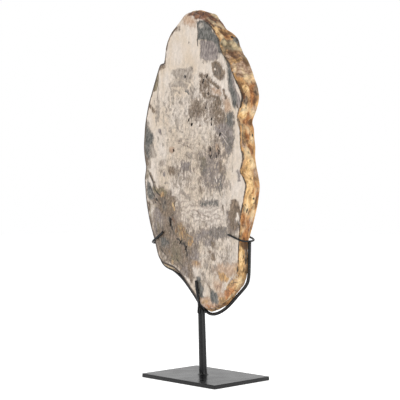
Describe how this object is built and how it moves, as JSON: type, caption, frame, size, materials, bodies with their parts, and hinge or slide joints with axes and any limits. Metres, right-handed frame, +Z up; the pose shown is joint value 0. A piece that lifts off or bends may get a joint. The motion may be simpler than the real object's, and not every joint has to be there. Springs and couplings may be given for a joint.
{
  "type": "petrified wood on stand",
  "caption": "Polished slice of petrified wood held upright in a bent black steel cradle on a post and a flat plate.",
  "frame": {"origin": "centre of the base plate's underside", "axes": "+Z up; X along the slab and the long edge of the plate; the face that is shown looks toward -Y"},
  "size_m": [0.2339, 0.12, 0.5753],
  "materials": {
    "petrified_wood": "polished faces, rough natural rim",
    "black_steel": "satin black powder coat"
  },
  "bodies": {
    "root": {"petrified_wood_slab": "petrified_wood", "base_plate": "black_steel", "post": "black_steel", "cradle_rod": "black_steel", "left_clip": "black_steel", "right_clip": "black_steel", "bottom_front_prong": "black_steel", "bottom_back_prong": "black_steel"}
  },
  "joints": []
}
